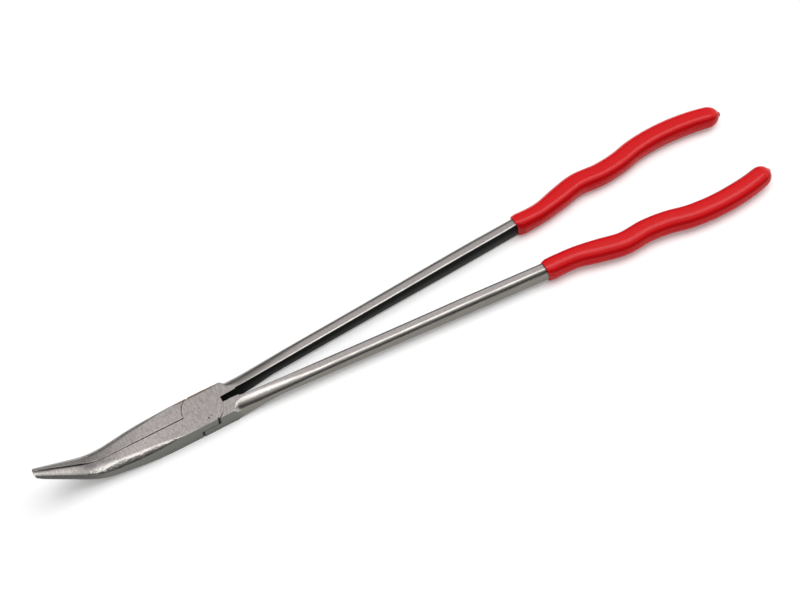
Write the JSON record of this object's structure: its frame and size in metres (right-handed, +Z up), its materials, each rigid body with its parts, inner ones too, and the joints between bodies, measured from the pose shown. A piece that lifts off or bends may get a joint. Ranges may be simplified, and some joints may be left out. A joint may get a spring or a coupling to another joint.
{
  "type": "long-reach bent-nose pliers",
  "caption": "Long-reach bent-nose pliers: slim jaws that bend up to a fine tip, a riveted lap joint, long slender arms and dipped vinyl grips.",
  "frame": {"origin": "On the rivet's axis, on the head's underside, which is also the level that the grips rest on", "axes": "+X runs back along the handles, away from the nose; +Y runs across the tool, to the side of the right grip; +Z is up, along the rivet's axis, the way the nose bends"},
  "size_m": [0.4004, 0.0644, 0.0291],
  "materials": {
    "steel": "satin ground forged steel",
    "rivet_steel": "ground flush with the head",
    "red_vinyl": "dipped soft vinyl with a low sheen"
  },
  "bodies": {
    "lower": {"lower_half": "steel", "pivot_rivet": "rivet_steel", "left_grip": "red_vinyl"},
    "upper": {"upper_half": "steel", "right_grip": "red_vinyl"}
  },
  "joints": [
    {"name": "pivot", "type": "hinge", "parent": "lower", "child": "upper", "pos_m": [0, 0, 0.00515], "axis": [0, 0, 1], "range_deg": [0, 45]}
  ]
}
